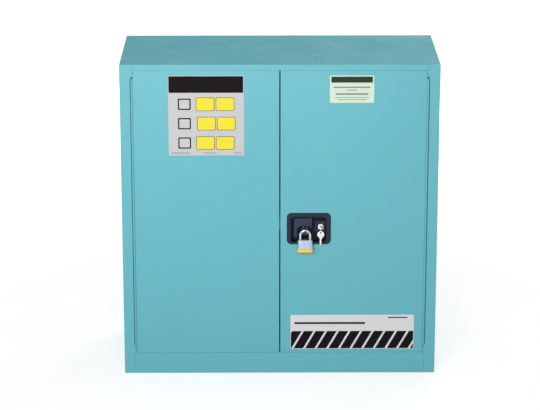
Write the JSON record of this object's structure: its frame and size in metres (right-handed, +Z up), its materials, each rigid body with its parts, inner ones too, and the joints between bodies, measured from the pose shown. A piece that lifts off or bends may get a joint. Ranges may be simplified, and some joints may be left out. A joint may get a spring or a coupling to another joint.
{
  "type": "safety cabinet",
  "caption": "Free-standing two-door steel cabinet for corrosive liquids, with double walls, a sloped shelf, a deep sill, and a recessed paddle handle with a three-point latch.",
  "frame": {"origin": "centre of the cabinet's footprint, on the floor", "axes": "+X to the cabinet's right seen from the front, +Y from the doors to the back, +Z up"},
  "size_m": [1.095, 0.5008, 1.118],
  "materials": {
    "painted_steel": "satin powder coat",
    "zinc_steel": "zinc plated",
    "galvanised_steel": "galvanised",
    "tray_plastic": "moulded polyethylene",
    "vent_metal": "plated",
    "ground_brass": "plain",
    "black_plastic": "fine grain",
    "black_metal": "fine textured powder coat on a die-cast lever",
    "lock_chrome": "polished",
    "key_metal": "nickel plated",
    "padlock_steel": "laminated, plated",
    "bumper_plastic": "moulded"
  },
  "bodies": {
    "cabinet": {"left_side_panel": "painted_steel", "right_side_panel": "painted_steel", "top_panel": "painted_steel", "back_panel": "painted_steel", "bottom_panel": "painted_steel", "sill_rail": "painted_steel", "left_liner": "painted_steel", "right_liner": "painted_steel", "rear_liner": "painted_steel", "top_liner": "painted_steel", "sump_pan": "painted_steel", "frame_strikes": "zinc_steel", "shelf_hangers": "zinc_steel", "left_hinge_frame_leaf": "painted_steel", "right_hinge_frame_leaf": "painted_steel", "left_hinge_pin": "zinc_steel", "right_hinge_pin": "zinc_steel", "lower_vent_bushing": "vent_metal", "upper_vent_bushing": "vent_metal", "lower_flame_screen": "vent_metal", "upper_flame_screen": "vent_metal", "ground_stud": "ground_brass", "ground_nuts": "ground_brass", "foot_nuts": "zinc_steel"},
    "left_door": {"left_door_skin": "painted_steel", "left_door_liner": "painted_steel", "left_hinge_door_leaf": "painted_steel", "centre_strike": "zinc_steel"},
    "right_door": {"right_door_skin": "painted_steel", "right_door_liner": "painted_steel", "right_hinge_door_leaf": "painted_steel", "handle_cup": "black_plastic", "padlock_lug": "zinc_steel", "latch_backplate": "zinc_steel", "rotor_rivet": "zinc_steel", "paddle_pin": "zinc_steel", "rod_guides": "zinc_steel", "lock_cylinder": "lock_chrome"},
    "paddle": {"paddle": "black_metal"},
    "rotor": {"rotor": "zinc_steel"},
    "top_rod": {"top_rod": "zinc_steel"},
    "bottom_rod": {"bottom_rod": "zinc_steel"},
    "centre_bolt": {"centre_bolt": "zinc_steel"},
    "lock_plug": {"lock_plug": "lock_chrome", "lock_cam": "zinc_steel"},
    "key": {"key": "key_metal", "key_ring": "key_metal"},
    "spare_key": {"spare_key": "key_metal"},
    "shackle": {"padlock_shackle": "lock_chrome"},
    "padlock": {"padlock_body": "padlock_steel", "padlock_bumper": "bumper_plastic"},
    "shelf": {"shelf": "galvanised_steel"},
    "shelf_tray": {"shelf_tray": "tray_plastic"},
    "lower_vent_plug": {"lower_vent_plug": "vent_metal"},
    "upper_vent_plug": {"upper_vent_plug": "vent_metal"},
    "front_left_foot": {"front_left_foot": "zinc_steel"},
    "rear_left_foot": {"rear_left_foot": "zinc_steel"},
    "front_right_foot": {"front_right_foot": "zinc_steel"},
    "rear_right_foot": {"rear_right_foot": "zinc_steel"}
  },
  "joints": [
    {"name": "left_door_swing", "type": "hinge", "parent": "cabinet", "child": "left_door", "pos_m": [-0.5048, -0.23, 0.1055], "axis": [0, 0, -1], "range_deg": [0, 180]},
    {"name": "right_door_swing", "type": "hinge", "parent": "cabinet", "child": "right_door", "pos_m": [0.5048, -0.23, 0.1055], "axis": [0, 0, 1], "range_deg": [0, 180]},
    {"name": "paddle_pull", "type": "hinge", "parent": "right_door", "child": "paddle", "pos_m": [0.108, -0.2225, 0.535], "axis": [0, 0, 1], "range_deg": [0, 30.05]},
    {"name": "rotor_turn", "type": "hinge", "parent": "right_door", "child": "rotor", "pos_m": [0.10345, -0.2045, 0.525], "axis": [0, 1, 0], "range_deg": [-22.67, 0]},
    {"name": "top_rod_slide", "type": "slide", "parent": "right_door", "child": "top_rod", "axis": [0, 0, -1], "range_m": [0, 0.01], "stiffness_N_per_m": 1650, "springref_m": -0.0067},
    {"name": "bottom_rod_slide", "type": "slide", "parent": "right_door", "child": "bottom_rod", "axis": [0, 0, 1], "range_m": [0, 0.01005]},
    {"name": "centre_bolt_slide", "type": "slide", "parent": "right_door", "child": "centre_bolt", "axis": [1, 0, 0], "range_m": [0, 0.01005]},
    {"name": "lock_turn", "type": "hinge", "parent": "right_door", "child": "lock_plug", "pos_m": [0.1413, -0.2245, 0.5405], "axis": [0, -1, 0], "range_deg": [0, 90]},
    {"name": "key_draw", "type": "slide", "parent": "lock_plug", "child": "key", "axis": [0, -1, 0], "range_m": [0, 0.03]},
    {"name": "spare_key_swing", "type": "hinge", "parent": "key", "child": "spare_key", "pos_m": [0.1413, -0.2525, 0.5267], "axis": [0, 1, 0], "range_deg": [-20, 20]},
    {"name": "padlock_swing", "type": "hinge", "parent": "right_door", "child": "shackle", "pos_m": [0.0875, -0.2435, 0.53255], "axis": [-1, 0, 0], "range_deg": [0, 80]},
    {"name": "padlock_release", "type": "slide", "parent": "shackle", "child": "padlock", "axis": [0, 0, -1], "range_m": [0, 0.012]},
    {"name": "shelf_lift", "type": "slide", "parent": "cabinet", "child": "shelf", "axis": [0, 0, 1], "range_m": [0, 0.15]},
    {"name": "tray_lift", "type": "slide", "parent": "shelf", "child": "shelf_tray", "axis": [0, 0, 1], "range_m": [0, 0.1]},
    {"name": "lower_plug_draw", "type": "slide", "parent": "cabinet", "child": "lower_vent_plug", "axis": [-1, 0, 0], "range_m": [0, 0.04]},
    {"name": "upper_plug_draw", "type": "slide", "parent": "cabinet", "child": "upper_vent_plug", "axis": [1, 0, 0], "range_m": [0, 0.04]},
    {"name": "front_left_foot_turn", "type": "hinge", "parent": "cabinet", "child": "front_left_foot", "pos_m": [-0.486, -0.1535, 0], "axis": [0, 0, 1], "continuous": true},
    {"name": "rear_left_foot_turn", "type": "hinge", "parent": "cabinet", "child": "rear_left_foot", "pos_m": [-0.486, 0.1535, 0], "axis": [0, 0, 1], "continuous": true},
    {"name": "front_right_foot_turn", "type": "hinge", "parent": "cabinet", "child": "front_right_foot", "pos_m": [0.486, -0.1535, 0], "axis": [0, 0, 1], "continuous": true},
    {"name": "rear_right_foot_turn", "type": "hinge", "parent": "cabinet", "child": "rear_right_foot", "pos_m": [0.486, 0.1535, 0], "axis": [0, 0, 1], "continuous": true}
  ],
  "couplings": [
    {"joint": "paddle_pull", "follows": "top_rod_slide", "rad_per_m": 52.36},
    {"joint": "rotor_turn", "follows": "top_rod_slide", "rad_per_m": -39.479},
    {"joint": "bottom_rod_slide", "follows": "top_rod_slide", "ratio": 1},
    {"joint": "centre_bolt_slide", "follows": "top_rod_slide", "ratio": 1}
  ]
}
